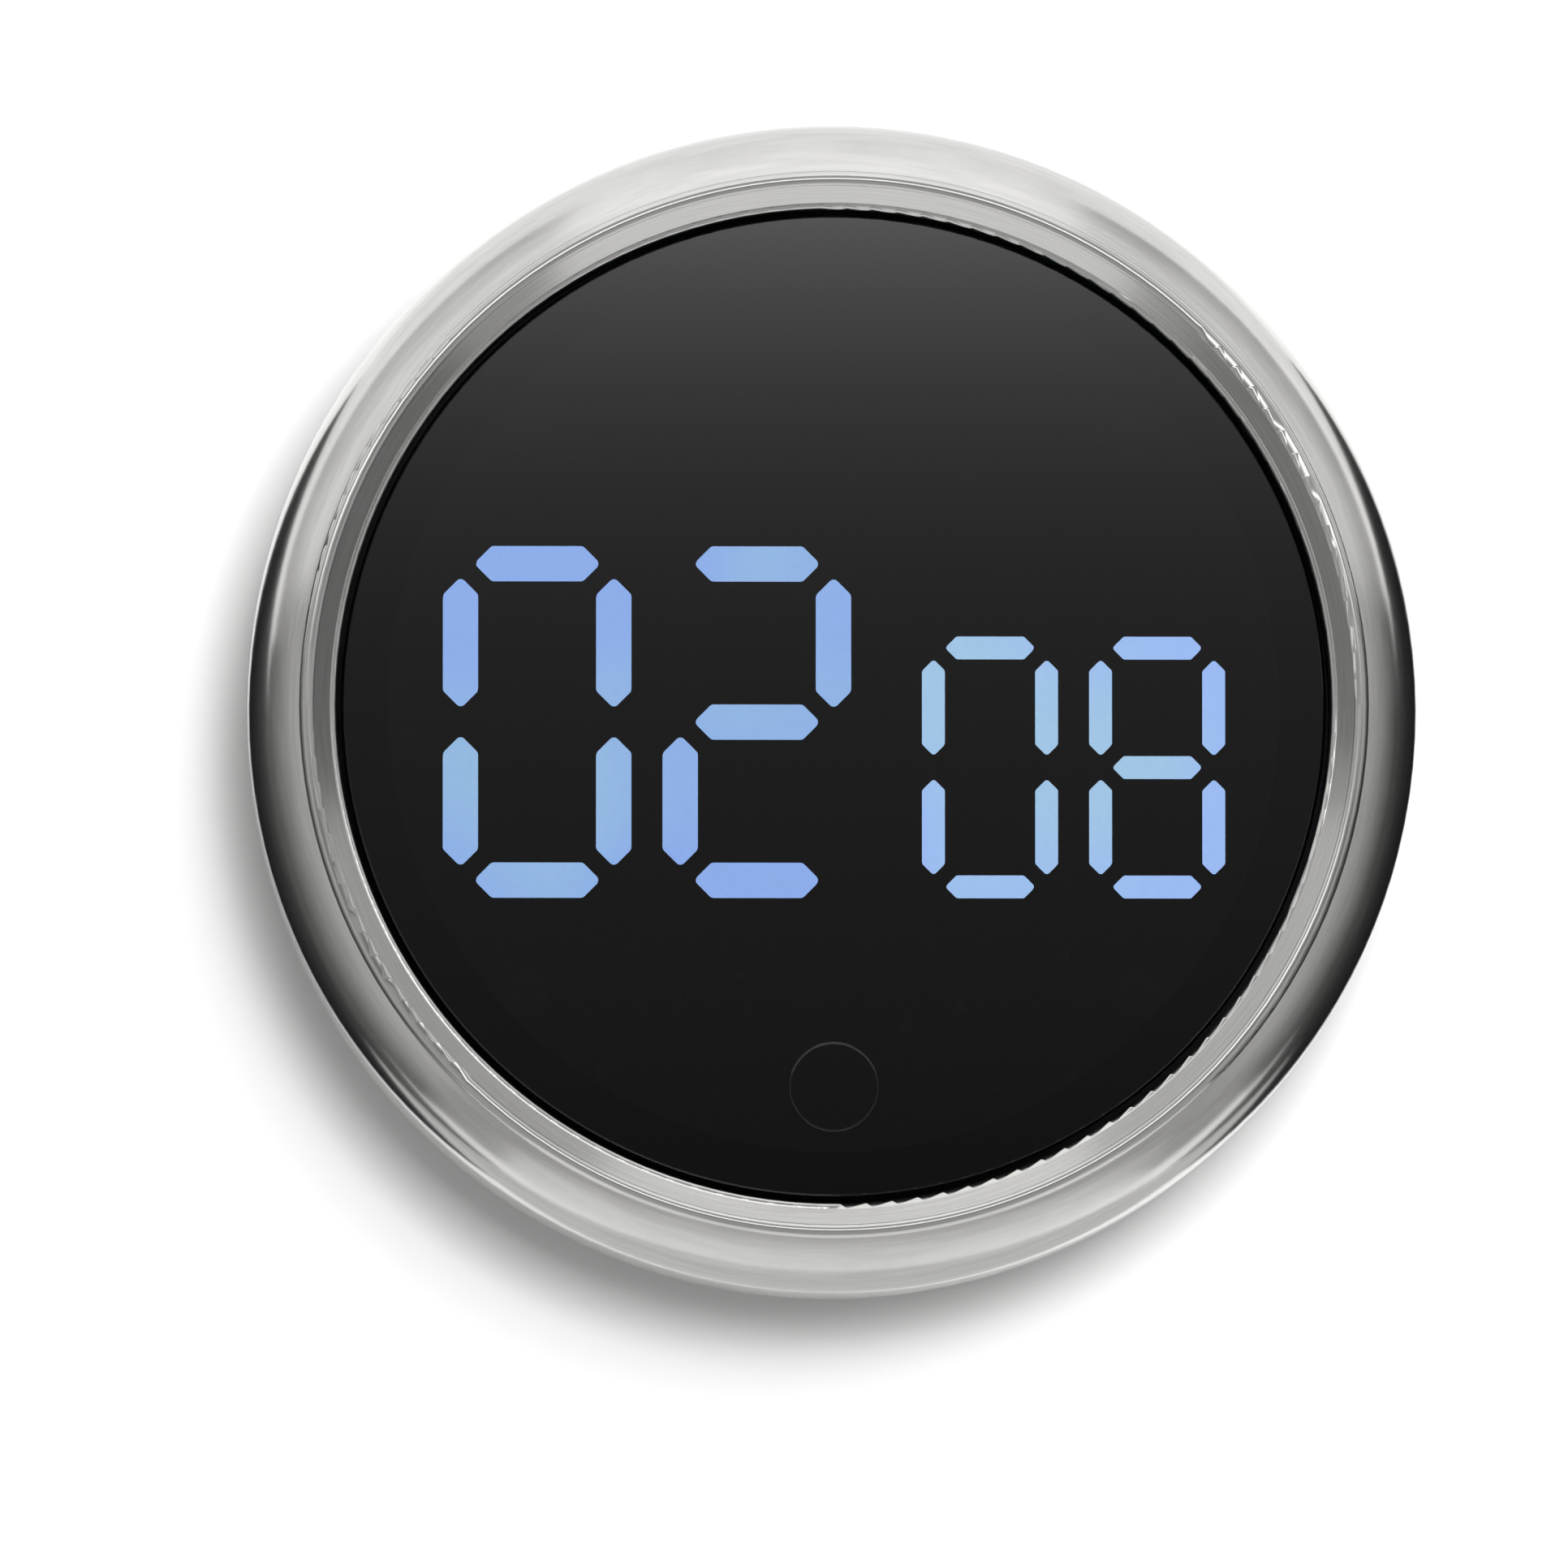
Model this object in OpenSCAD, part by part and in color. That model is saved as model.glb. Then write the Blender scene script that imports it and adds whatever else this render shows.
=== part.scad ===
// Magnetic kitchen timer with a turning steel ring, a four-digit display and a face that is pressed.
// It lies on its back: +Z points out of the face, +Y points to twelve o'clock, and z = 0 is the foot.
// All sizes are in millimetres.

/* [Overall] */
// Diameter over the turning ring
ring_d = 78; // [76:0.5:96]
// Height from the foot to the crest of the ring
timer_h = 27.5; // [26.5:0.5:36]

/* [Ring trim] */
// Wall of the steel trim
trim_wall = 1; // [0.6:0.1:1.2]
// Width of the outer rounded band, from the ring's outside to the crease
band_w = 3.6; // [2.5:0.1:5]
// Rounding radius of the outer band
band_round = 5.5; // [4:0.1:8]
// Distance from the crease in to the crest of the bead
crest_in = 0.35; // [0.3:0.05:0.8]
// Rounding radius of the bead
bead_round = 0.55; // [0.4:0.05:0.8]
// Height of the bead above the crease
bead_h = 0.45; // [0.2:0.05:0.6]
// Width of the sloping flank between the bead and the lip
flank_w = 1.5; // [1:0.1:2]
// Slope of the flank
flank_slope = 44; // [35:1:50]
// Width of the lip around the lens
lip_w = 0.45; // [0.4:0.05:1.2]
// Rounding radius of the lip's edge
lip_round = 0.4; // [0.25:0.05:0.5]

/* [Ring bearing and gears] */
// Wall of the plastic ring that carries the trim
carrier_wall = 2.8; // [2.4:0.1:4]
// Radial clearance of the ring on its bearing drum
bearing_gap = 0.1; // [0.04:0.02:0.3]
// Axial clearance of the ring above and below its bearing drum
float_gap = 0.15; // [0.05:0.05:0.4]
// Wall of the bearing drum
drum_wall = 1.7; // [1.2:0.1:2.5]
// Teeth of the internal gear on the ring
ring_teeth = 96; // [72:4:120]
// Teeth of the pinion on the encoder
pinion_teeth = 16; // [14:1:20]
// Thickness of the ring gear
gear_t = 2.6; // [2:0.1:3.5]
// Backlash at the pitch circle
backlash = 0.18; // [0.08:0.02:0.3]
// Number of screws that hold the ring gear
gear_screws = 6; // [3:1:8]
// Thickness of the glide washer
washer_t = 0.6; // [0.4:0.1:1]

/* [Face] */
// Thickness of the lens
lens_t = 1.5; // [1:0.1:2]
// Gap between the lens and the lip of the ring
lens_gap = 0.3; // [0.2:0.05:0.6]
// Depth of the lens below the lip of the ring
lens_recess = 0.3; // [0.1:0.05:0.6]
// Diameter of the raised touch mark
mark_d = 6.1; // [4:0.1:8]
// Height of the touch mark
mark_h = 0.15; // [0.1:0.05:0.4]
// Distance of the touch mark below the centre of the face
mark_y = 25.4; // [22:0.2:26]
// Thickness of the frame under the lens
frame_t = 0.8; // [0.6:0.1:1.4]
// Thickness of the adhesive ring
adhesive_t = 0.1; // [0.05:0.05:0.3]
// Width of the frame's rim
frame_w = 2.9; // [2:0.1:3.5]
// Distance of the face hinge above the centre of the face
hinge_y = 29.5; // [28.5:0.1:30]
// Diameter of the face hinge pins
hinge_pin_d = 1.2; // [1:0.1:1.6]

/* [Display] */
// Height of the two large digits
big_h = 23.5; // [18:0.5:24]
// Width of the two large digits
big_w = 12.6; // [9:0.1:13]
// Stroke of the large segments
big_stroke = 2.38; // [1.6:0.05:2.8]
// Height of the two small digits
small_h = 17.5; // [13:0.5:19]
// Width of the two small digits
small_w = 9.1; // [7:0.1:10]
// Stroke of the small segments
small_stroke = 1.55; // [1.1:0.05:2]
// Shortfall of the large segments at the digit's corners
big_gap = 1.75; // [0.8:0.05:2]
// Shortfall of the small segments at the digit's corners
small_gap = 1.5; // [0.7:0.05:1.7]
// Height of the base line of all digits
digit_base_y = -12.7; // [-13:0.05:-11]
// Centre of the first large digit
minutes_tens_x = -19.7; // [-20:0.05:-18.5]
// Centre of the second large digit
minutes_units_x = -5.05; // [-5.5:0.05:-4]
// Centre of the first small digit
seconds_tens_x = 10.5; // [10:0.05:11.5]
// Centre of the second small digit
seconds_units_x = 21.65; // [21:0.05:22.5]
// Distance from the digits to the edge of the display housing
display_margin = 1.6; // [1:0.1:2]
// Thickness of the light pipes of the segments
light_t = 2.2; // [1:0.1:3]
// Thickness of the circuit board
pcb_t = 1.2; // [0.8:0.1:1.6]

/* [Rear case] */
// How far the foot stands proud of the rear wall
foot_proud = 0.5; // [0.3:0.1:1]
// Height of the silicone foot ring
foot_t = 1.2; // [0.9:0.1:1.5]
// Width of the foot ring
foot_w = 3; // [2:0.1:3.5]
// Wall of the rear case
rear_wall = 2; // [1.8:0.1:2.6]
// How far the rear case stands in from the ring
case_inset = 3; // [2.6:0.1:4]
// Diameter of the magnets
magnet_d = 10; // [6:0.5:12]
// Thickness of the magnets
magnet_t = 2.5; // [1.5:0.1:3]
// Diameter of the sounder
buzzer_d = 9.6; // [7:0.1:10]
// Height of the sounder
buzzer_h = 5; // [3:0.1:5]
// Diameter of the case screws
case_screw_d = 2.2; // [1.8:0.1:2.6]
// Travel of the volume slider to each side of the middle
slider_travel = 2; // [1:0.5:2.5]

/* [Batteries] */
// Diameter of a cell
cell_d = 10.5; // [8.5:0.1:11]
// Length of a cell over its button
cell_l = 44.5; // [36:0.5:46]
// Thickness of the battery door
door_t = 1.6; // [1.4:0.1:1.8]
// Gap around the battery door
door_gap = 0.2; // [0.1:0.05:0.4]
// Diameter of the door hinge pins
door_pin_d = 1; // [0.8:0.1:1.1]
// Length of the squeezed contact springs
spring_l = 3.6; // [2.5:0.1:4.5]

/* [Hidden] */
$fn = 96;
// radial clearance of a pin, a shaft or a part in its seat
pin_gap = 0.05;
// gap between faces that lie together without touching
near = 0.1;
// how far a cutter runs past what it cuts
over = 1;
// how far joined shapes run into each other
bite = 0.5;
// radius of a small screw's shank, head and head height
small_shank_r = 0.75;
small_head_r = 1.2;
small_head_h = 0.8;

// Radii, from the outside in
ring_r = ring_d / 2;
carrier_r = ring_r - trim_wall;
bore_r = carrier_r - carrier_wall;
drum_r = bore_r - bearing_gap;
drum_in = drum_r - drum_wall;
crease_r = ring_r - band_w;
crest_r = crease_r - crest_in;
flank_r = crest_r - flank_w;
lip_r = flank_r - lip_w;
lens_r = lip_r - lens_gap;
frame_step = 0.2;
frame_r = lens_r - frame_step;
frame_in = frame_r - frame_w;
flange_r = lip_r + lens_gap + near;
pcb_gap = 0.9;
pcb_r = drum_in - pcb_gap;
case_r = ring_r - case_inset;

// Gears: one module for both, set by the room inside the bearing drum
teeth_in = 1.5;
pitch_r = drum_r - teeth_in;
gear_mod = 2 * pitch_r / ring_teeth;
pinion_pitch_r = gear_mod * pinion_teeth / 2;
pinion_x = pitch_r - pinion_pitch_r;
pinion_room = 0.8;
ring_addendum = 0.85;
pinion_addendum = 0.9;
dedendum = 1.25;
ring_tip_r = pitch_r - ring_addendum * gear_mod;
ring_root_r = pitch_r + dedendum * gear_mod;
pinion_tip_r = pinion_pitch_r + pinion_addendum * gear_mod;
pinion_root_r = pinion_pitch_r - dedendum * gear_mod;
pressure_angle = 20;
gear_rim_r = carrier_r - near;
gear_screw_ring = bore_r + carrier_wall / 2;
gear_screw_grip = 3.2;
tip_gap = 0.35;
spigot_wall = 1.8;
spigot_r = ring_tip_r - tip_gap;
spigot_in = spigot_r - spigot_wall;

// Heights, from the foot up
rear_z = foot_proud;
rear_in = rear_z + rear_wall;
cell_r = cell_d / 2;
cell_z = rear_z + door_t + near + cell_r;
bay_gap = 0.3;
bay_roof = 1;
roof_gap = 0.6;
bay_z1 = cell_z + cell_r + bay_gap;
bay_top = bay_z1 + bay_roof;
web_z = bay_top + roof_gap;
web_t = 1.4;
pcb_z = web_z + web_t;
pcb_z1 = pcb_z + pcb_t;
drum_drop = 1.95;
drum_z0 = web_z - drum_drop;
gear_z1 = drum_z0 - float_gap;
gear_z0 = gear_z1 - gear_t;
shelf_z = gear_z0 - near - washer_t;
shelf_t = 1.5;
washer_gap = 0.6;
washer_in = 0.3;
skirt_gap = 0.3;
trim_z0 = shelf_z + skirt_gap;

// Heights, from the crest down
bead_z = timer_h - bead_round;
flank_z = timer_h - (flank_w - bead_round * tan(flank_slope / 2)) * tan(flank_slope);
lip_slope = 20;
lip_z = flank_z - (lip_w - lip_round) * tan(lip_slope);
crease_z = timer_h - bead_h;
band_x = ring_r - band_round;
band_z = crease_z - sqrt(band_round * band_round - pow(crease_r - band_x, 2));
fill_t = 0.6;
fill_z = lip_z - lip_round - fill_t;
lens_z1 = lip_z - lens_recess;
lens_z0 = lens_z1 - lens_t;
frame_z1 = lens_z0 - adhesive_t;
frame_z0 = frame_z1 - frame_t;
drum_z1 = frame_z0 - near;
flange_z = drum_z1 + float_gap;
press_room = 0.8;
display_z1 = frame_z0 - press_room;

// Face hinge
hinge_pin_r = hinge_pin_d / 2;
ear_wall = 0.5;
ear_top = frame_z0 - press_room / 2;
hinge_z = ear_top - hinge_pin_r - ear_wall;
ear_x0 = 6.2;
ear_w = 2;
ear_half = 1.6;
lug_w = 1.8;
lug_gap = 0.2;
lug_drop = 1;

// Battery bay, open to the rear under its door
cell_gap = 0.4;
cell_pitch = cell_d + cell_gap;
cell_count = 3;
bay_x = cell_pitch * (cell_count - 1) / 2 + cell_r + cell_gap / 2 + pin_gap;
contact_t = 0.4;
tab_w = 2;
contact_in = 0.8;
spring_r0 = 3.4;
spring_r1 = 1.9;
spring_turns = 3;
spring_wire_r = 0.28;
button_gap = 0.3;
bay_y = (cell_l + spring_l + 2 * contact_t + button_gap) / 2;
bay_wall = 1.2;
bay_out = bay_x + bay_wall;
cell_y1 = bay_y - contact_t - button_gap;
button_r = 1.9;
button_l = 0.8;
door_ledge = 0.6;
door_lap = 0.8;
hinge_out = 0.3;
door_x = bay_x + door_ledge;
door_y0 = -bay_y - door_lap;
door_hinge_y = bay_y + hinge_out;
door_hinge_z = rear_z + door_t / 2;
door_pin_l = 1;
door_pin_r = door_pin_d / 2;
door_corner = 2;
rib_l = 14;
rib_w = 0.8;
rib_depth = 0.4;
rib_pitch = 1.8;
scoop_r = 4;
scoop_depth = 0.9;

// Rear fittings, set beside the battery bay
case_bevel = 1;
foot_in = 1.2;
foot_r1 = case_r - foot_in;
foot_r0 = foot_r1 - foot_w;
magnet_r = magnet_d / 2;
boss_wall = 1;
bay_room = 0.3;
magnet_x = bay_out + bay_room + magnet_r + boss_wall;
magnet_y = -5;
magnet_z = rear_z + near;
magnet_floor = magnet_z + magnet_t;
buzzer_r = buzzer_d / 2;
buzzer_x = -(bay_out + bay_room + buzzer_r);
buzzer_y = 9;
buzzer_seat = 2;
sound_ring_r = 2;
sound_hole_r = 0.5;
buzzer_z = rear_in + near;
switch_w = 6;
switch_l = 10;
switch_h = 4.1;
board_rim = 0.5;
switch_x = bay_out + bay_room + board_rim + switch_w / 2;
switch_y = 9;
switch_z = rear_in + near;
knob_w = 3;
knob_l = 4;
knob_proud = 0.3;
knob_groove = 0.5;
knob_z0 = rear_z - knob_proud;
stem_w = 1.6;
stem_l = 2.4;
stem_h = 2.3;
board_t = 0.8;

// Wires
lead_r = 0.5;
lead_gap = 0.6;

// Screws that join the case to the chassis, with the board screws above them
post_r = 3;
post_gap = 0.08;
chassis_post_r = 2.6;
post_z = shelf_z - 2 * near;
screw_x = bay_out + post_r - 2 * near;
screw_y = sqrt(pow(spigot_in - post_r - post_gap, 2) - screw_x * screw_x);
case_screw_r = case_screw_d / 2;
case_head_r = 2.1;
case_head_h = 1.8;
case_seat = 2.8;
case_seat_z = rear_z + case_seat;
board_screw_r = 0.8;
board_head_r = 1.7;
board_head_h = 1.1;
board_screw_z = web_z - 1.4;
case_screw_z1 = board_screw_z - 0.6;

// Encoder under the circuit board
encoder_w = 8;
encoder_drop = 1.7;
encoder_z0 = web_z - encoder_drop;
shaft_r = 1.5;
shaft_roof = 1;
shaft_z1 = pcb_z - shaft_roof;

// Switch under the touch mark
tact_w = 6;
tact_h = 2.5;
plunger_r = 1.7;
plunger_drop = 1.5;
plunger_z0 = pcb_z1 + plunger_drop;
plunger_z1 = frame_z0 - near / 2;
tongue_w = 6;

// Digits: [centre x, width, height, stroke, corner gap, lit segments in the order a b c d e f g]
DIGITS = [
    [minutes_tens_x, big_w, big_h, big_stroke, big_gap, [1, 1, 1, 1, 1, 1, 0]],
    [minutes_units_x, big_w, big_h, big_stroke, big_gap, [1, 1, 0, 1, 1, 0, 1]],
    [seconds_tens_x, small_w, small_h, small_stroke, small_gap, [1, 1, 1, 1, 1, 1, 0]],
    [seconds_units_x, small_w, small_h, small_stroke, small_gap, [1, 1, 1, 1, 1, 1, 1]]
];
display_x = max(big_w / 2 - minutes_tens_x, small_w / 2 + seconds_units_x) + display_margin;
display_y0 = digit_base_y - display_margin;
display_y1 = digit_base_y + big_h + display_margin;

// ---- shared shapes ----

// Ring of rectangular section between two radii and two heights
module ring_block(r0, r1, z0, z1) {
    rotate_extrude($fn = 180)
        translate([r0, z0])
            square([r1 - r0, z1 - z0]);
}

// Block centred on x and y, standing on z0
module block(size, at, z0) {
    translate([at[0] - size[0] / 2, at[1] - size[1] / 2, z0])
        cube(size);
}

// Rectangle between two corners with rounded corners at its -Y end only
module door_outline(x, y0, y1, r) {
    translate([-x, y0 + r])
        square([2 * x, y1 - y0 - r]);
    translate([-x + r, y0])
        square([2 * (x - r), r + 0.1]);
    for (side = [-1, 1])
        translate([side * (x - r), y0 + r])
            circle(r);
}

// The four corners that carry the case screws
module at_screws() {
    for (sx = [-1, 1])
        for (sy = [-1, 1])
            translate([sx * screw_x, sy * screw_y, 0])
                children();
}

// Pan-head screw: head below z = 0 when flip is -1, shank up to its length
module screw(head_r, head_h, shank_r, shank_l) {
    difference() {
        union() {
            translate([0, 0, -head_h])
                cylinder(r = head_r, h = head_h, $fn = 40);
            cylinder(r = shank_r, h = shank_l, $fn = 32);
        }
        for (turn = [0, 90])
            rotate([0, 0, turn])
                translate([-head_r * 0.6, -head_r * 0.12, -head_h - 0.1])
                    cube([head_r * 1.2, head_r * 0.24, head_h * 0.5 + 0.1]);
    }
}

// Angle of the involute at radius r on base radius rb, in degrees
function involute(r, rb) = sqrt(pow(r / rb, 2) - 1) * 180 / PI - acos(rb / r);

// Half the angle of a tooth at radius r, for a tooth of pitch radius rp
function half_tooth(r, rp, slack) =
    let (rb = rp * cos(pressure_angle), s = max(r, rb))
    (PI * gear_mod / 2 - slack) / 2 / rp * 180 / PI + involute(rp, rb) - involute(s, rb);

// Outline of a gear with teeth on its outside, flank by flank over the given radii
function gear_outline(teeth, rp, radii, slack) = [
    for (i = [0 : teeth - 1])
        for (side = [-1, 1])
            for (k = [0 : len(radii) - 1])
                let (r = side < 0 ? radii[k] : radii[len(radii) - 1 - k])
                let (a = i * 360 / teeth + side * half_tooth(r, rp, slack))
                [r * cos(a), r * sin(a)]
];

// ---- display segments ----

// Points of an arc of radius r about a centre, from one angle to another in n steps
function arc(centre, r, a0, a1, n) = [
    for (i = [0 : n])
        let (a = a0 + (a1 - a0) * i / n)
        [centre[0] + r * cos(a), centre[1] + r * sin(a)]
];

// Long segment of length l and width w, with square points at both ends and rounded corners
module segment(l, w) {
    r = 0.15 * w;
    tip_x = l / 2 - r * sqrt(2);
    side_x = l / 2 - w / 2 + r - r * sqrt(2);
    side_y = w / 2 - r;
    polygon(concat(
        arc([tip_x, 0], r, -45, 45, 4), arc([side_x, side_y], r, 45, 90, 2),
        arc([-side_x, side_y], r, 90, 135, 2), arc([-tip_x, 0], r, 135, 225, 4),
        arc([-side_x, -side_y], r, 225, 270, 2), arc([side_x, -side_y], r, 270, 315, 2)
    ));
}

// Places of the segments a to g of a digit: [x, y, turn, length]
function segment_places(digit) =
    let (s = digit[3], across = digit[1] - s, up = (digit[2] - s) / 2)
    let (low = s / 2 + up / 2, high = low + up, wide = across - digit[4], tall = up - digit[4])
    [
        [0, digit[2] - s / 2, 0, wide], [across / 2, high, 90, tall], [across / 2, low, 90, tall],
        [0, s / 2, 0, wide], [-across / 2, low, 90, tall], [-across / 2, high, 90, tall],
        [0, digit[2] / 2, 0, wide]
    ];

// The segments of one digit whose state is wanted, shrunk all round by inset
module digit_2d(digit, wanted, inset = 0) {
    places = segment_places(digit);
    for (k = [0 : 6])
        if (digit[5][k] == wanted)
            translate([digit[0] + places[k][0], digit_base_y + places[k][1]])
                rotate(places[k][2])
                    segment(places[k][3] - 2 * inset, digit[3] - 2 * inset);
}

module segment_lights(digit, wanted) {
    translate([0, 0, display_z1 - light_t])
        linear_extrude(light_t)
            digit_2d(digit, wanted, 0.03);
}

// ---- steel ring ----

// Section of the outer band down to z0, shrunk by inset from its outside
module band_section(inset, z0) {
    intersection() {
        union() {
            translate([band_x, band_z])
                circle(band_round - inset);
            translate([band_x - 1, z0])
                square([band_round - inset + 1, band_z - z0]);
        }
        translate([crease_r - 0.2, z0])
            square([band_w + 0.2, timer_h - z0]);
    }
}

// Slope from the bead down to the lip, standing on the fill
module flank_section() {
    side = [cos(90 + flank_slope), sin(90 + flank_slope)];
    polygon([
        [lip_r, fill_z], [lip_r, lip_z - lip_round], [lip_r + lip_round, lip_z - 0.01], [flank_r, flank_z],
        [crest_r, bead_z] + side * (bead_round - 0.01), [crest_r, bead_z], [crest_r, crease_z + 0.1],
        [crease_r + 0.1, crease_z - 0.05], [crease_r + 0.1, fill_z]
    ]);
}

// Band, bead, flank and lip of the trim, each turned from its own section
module bezel_trim() {
    color("#b8bab9")
        difference() {
            union() {
                rotate_extrude($fn = 240)
                    band_section(0, trim_z0);
                rotate_extrude($fn = 240)
                    flank_section();
                rotate_extrude($fn = 240)
                    translate([crest_r, bead_z])
                        circle(bead_round);
                rotate_extrude($fn = 240)
                    translate([lip_r + lip_round, lip_z - lip_round])
                        circle(lip_round);
            }
            rotate_extrude($fn = 240)
                band_section(trim_wall, trim_z0 - 1);
            ring_block(lip_r - 1, crease_r, trim_z0 - 1, fill_z);
        }
}

// Plastic ring pressed into the trim; its bore runs on the drum and its flange sits over the drum
module ring_carrier() {
    color("#2a2b2d")
        difference() {
            rotate_extrude($fn = 180)
                difference() {
                    union() {
                        band_section(trim_wall, gear_z1);
                        translate([flange_r, flange_z])
                            square([crease_r - flange_r, fill_z - flange_z]);
                    }
                    square([bore_r, flange_z]);
                }
            for (i = [0 : gear_screws - 1])
                rotate([0, 0, (i + 0.5) * 360 / gear_screws])
                    translate([gear_screw_ring, 0, gear_z1 - near])
                        cylinder(r = small_shank_r, h = gear_screw_grip + 4 * near, $fn = 32);
        }
}

module ring_gear() {
    color("#d9d6cc")
        difference() {
            translate([0, 0, gear_z0])
                linear_extrude(gear_t)
                    difference() {
                        circle(gear_rim_r, $fn = 180);
                        polygon(gear_outline(ring_teeth, pitch_r,
                            [ring_tip_r, pitch_r, ring_root_r], -backlash));
                    }
            for (i = [0 : gear_screws - 1])
                rotate([0, 0, (i + 0.5) * 360 / gear_screws])
                    translate([gear_screw_ring, 0, gear_z0 - near]) {
                        cylinder(r = small_shank_r + pin_gap, h = gear_t + over, $fn = 32);
                        cylinder(r = small_head_r + pin_gap, h = small_head_h + 2 * near, $fn = 40);
                    }
        }
}

module ring_gear_screws() {
    color("#8d8f92")
        for (i = [0 : gear_screws - 1])
            rotate([0, 0, (i + 0.5) * 360 / gear_screws])
                translate([gear_screw_ring, 0, gear_z0 + small_head_h + near])
                    screw(small_head_r, small_head_h, small_shank_r,
                        gear_t - small_head_h - near + gear_screw_grip);
}

// ---- pinion and encoder ----

module pinion() {
    color("#e4e0d4")
        translate([pinion_x, 0, gear_z0 + near])
            difference() {
                linear_extrude(gear_t - 3 * near)
                    polygon(gear_outline(pinion_teeth, pinion_pitch_r,
                        [pinion_root_r, pinion_pitch_r * 0.95, pinion_pitch_r, pinion_tip_r], 0));
                translate([0, 0, -over])
                    cylinder(r = shaft_r, h = gear_t + 2 * over);
            }
}

module encoder_shaft() {
    color("#a9abad")
        translate([pinion_x, 0, gear_z0])
            cylinder(r = shaft_r, h = shaft_z1 - gear_z0);
}

module encoder() {
    color("#34383c")
        difference() {
            block([encoder_w, encoder_w, pcb_z - encoder_z0], [pinion_x, 0], encoder_z0);
            translate([pinion_x, 0, encoder_z0 - over])
                cylinder(r = shaft_r + pin_gap, h = shaft_z1 - encoder_z0 + over + 2 * near);
        }
}

// ---- chassis and electronics ----

module chassis() {
    color("#303235")
        difference() {
            union() {
                ring_block(drum_in, drum_r, drum_z0, drum_z1);
                translate([0, 0, web_z])
                    cylinder(r = drum_in + bite, h = web_t, $fn = 180);
                at_screws()
                    translate([0, 0, post_z])
                        cylinder(r = chassis_post_r, h = web_z - post_z + bite, $fn = 48);
                for (side = [-1, 1])
                    block([ear_w, 2 * ear_half, ear_top - web_z], [side * (ear_x0 + ear_w / 2), hinge_y],
                        web_z);
            }
            at_screws() {
                translate([0, 0, post_z - over])
                    cylinder(r = case_screw_r, h = case_screw_z1 + 2 * near - post_z + over, $fn = 40);
                translate([0, 0, board_screw_z - 2 * near])
                    cylinder(r = board_screw_r, h = pcb_z - board_screw_z + over, $fn = 32);
            }
            translate([0, hinge_y, hinge_z])
                rotate([0, 90, 0])
                    cylinder(r = hinge_pin_r + pin_gap, h = 2 * (ear_x0 + ear_w + over), center = true,
                        $fn = 40);
            block([encoder_w + 6 * near, encoder_w + 6 * near, web_t + 2 * over], [pinion_x, 0],
                web_z - over);
            for (at = concat(battery_lead_places(), buzzer_lead_places(), volume_lead_places()))
                translate([at[0], at[1], web_z - over])
                    cylinder(r = lead_r + lead_gap, h = web_t + 2 * over, $fn = 32);
        }
}

module circuit_board() {
    color("#1f5b3a")
        difference() {
            translate([0, 0, pcb_z])
                cylinder(r = pcb_r, h = pcb_t, $fn = 180);
            block([2 * (ear_x0 + ear_w + 4 * near), 10, pcb_t + 2 * over],
                [0, hinge_y - ear_half - 3 * near + 5], pcb_z - over);
            at_screws()
                translate([0, 0, pcb_z - over])
                    cylinder(r = board_screw_r + 2 * near, h = pcb_t + 2 * over, $fn = 32);
        }
}

module board_screws() {
    color("#8d8f92")
        at_screws()
            translate([0, 0, pcb_z1])
                mirror([0, 0, 1])
                    screw(board_head_r, board_head_h, board_screw_r, pcb_z1 - board_screw_z);
}

module display_housing() {
    color("#141518")
        difference() {
            translate([-display_x, display_y0, pcb_z1])
                cube([2 * display_x, display_y1 - display_y0, display_z1 - pcb_z1]);
            translate([0, 0, pcb_z1 - over])
                linear_extrude(display_z1 - pcb_z1 + 2 * over)
                    for (digit = DIGITS) {
                        digit_2d(digit, 1);
                        digit_2d(digit, 0);
                    }
        }
}

module led_chips() {
    color("#f0ead0")
        for (digit = DIGITS)
            for (place = segment_places(digit))
                translate([digit[0] + place[0], digit_base_y + place[1], pcb_z1])
                    rotate([0, 0, place[2]])
                        block([1.6, 0.8, 0.6], [0, 0], 0);
}

module controller_chip() {
    color("#1c1d1f") {
        block([9, 4, 1.4], [0, 19.4], pcb_z1 + 0.1);
        for (i = [0 : 6])
            for (side = [-1, 1])
                block([0.4, 1.2, 0.5], [(i - 3) * 1.27, 19.4 + side * 2.6], pcb_z1);
    }
}

module passives() {
    color("#b79b6a")
        for (i = [0 : 5]) {
            block([0.8, 1.6, 0.6], [-14 + i * 1.8, -18.5], pcb_z1);
            block([1.6, 0.8, 0.6], [11 + (i % 3) * 2.4, 18.2 + floor(i / 3) * 1.8], pcb_z1);
        }
}

module minutes_tens_light() {
    color("#a9c4f5")
        segment_lights(DIGITS[0], 1);
}

module minutes_units_light() {
    color("#a9c4f5")
        segment_lights(DIGITS[1], 1);
}

module seconds_tens_light() {
    color("#a9c4f5")
        segment_lights(DIGITS[2], 1);
}

module seconds_units_light() {
    color("#a9c4f5")
        segment_lights(DIGITS[3], 1);
}

module unlit_segments() {
    color("#3a3d42")
        for (digit = DIGITS)
            segment_lights(digit, 0);
}

module tact_switch() {
    color("#222326")
        difference() {
            block([tact_w, tact_w, tact_h], [0, -mark_y], pcb_z1);
            translate([0, -mark_y, plunger_z0 - 0.8])
                cylinder(r = plunger_r + pin_gap, h = tact_h, $fn = 48);
        }
}

module plunger() {
    color("#e8e6df")
        translate([0, -mark_y, plunger_z0])
            cylinder(r = plunger_r, h = plunger_z1 - plunger_z0, $fn = 48);
}

// ---- face ----

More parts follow.
